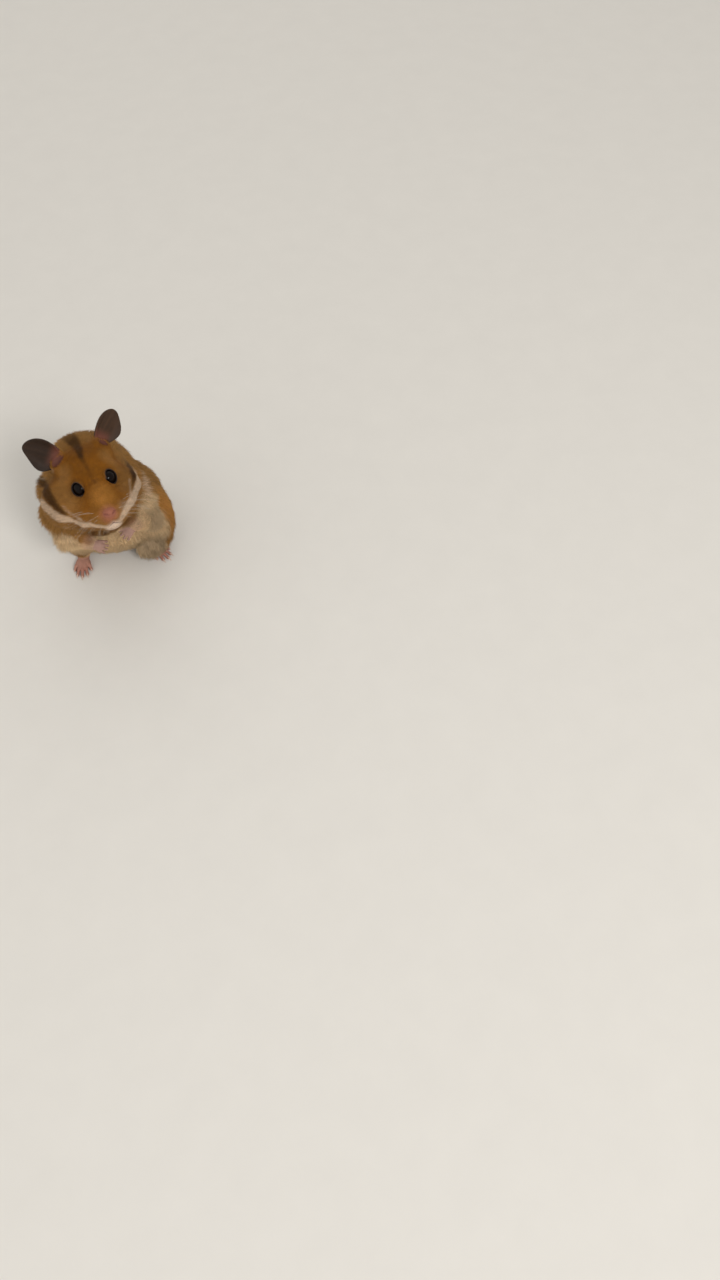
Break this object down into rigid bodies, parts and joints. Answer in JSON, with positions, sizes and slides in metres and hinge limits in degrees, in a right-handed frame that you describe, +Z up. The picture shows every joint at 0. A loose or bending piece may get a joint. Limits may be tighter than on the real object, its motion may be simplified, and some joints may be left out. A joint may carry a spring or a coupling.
{
  "type": "syrian hamster",
  "caption": "Life-size still model of a golden hamster sitting up on its haunches, head turned and raised, forepaws held at the chest.",
  "frame": {"origin": "on the floor, below the middle of the bounding box", "axes": "+Z up, the chest faces -Y, so the animal's left side is +X"},
  "size_m": [0.0564, 0.0768, 0.0834],
  "materials": {
    "fur": "soft golden agouti coat, pale grey-cream below",
    "foot_skin": "bare pink skin, finely creased",
    "nose_skin": "moist bare pink skin",
    "ear_skin": "thin dark grey-brown skin with short down, pink at the root",
    "eye": "wet, glossy black"
  },
  "bodies": {
    "root": {"head": "fur", "neck": "fur", "trunk": "fur", "tail": "foot_skin", "thigh_left": "fur", "thigh_right": "fur", "hind_foot_left": "foot_skin", "hind_foot_right": "foot_skin", "foreleg_left": "fur", "foreleg_right": "fur", "forepaw_left": "foot_skin", "forepaw_right": "foot_skin", "nose": "nose_skin", "ear_left": "ear_skin", "ear_right": "ear_skin", "eye_left": "eye", "eye_right": "eye"}
  },
  "joints": []
}
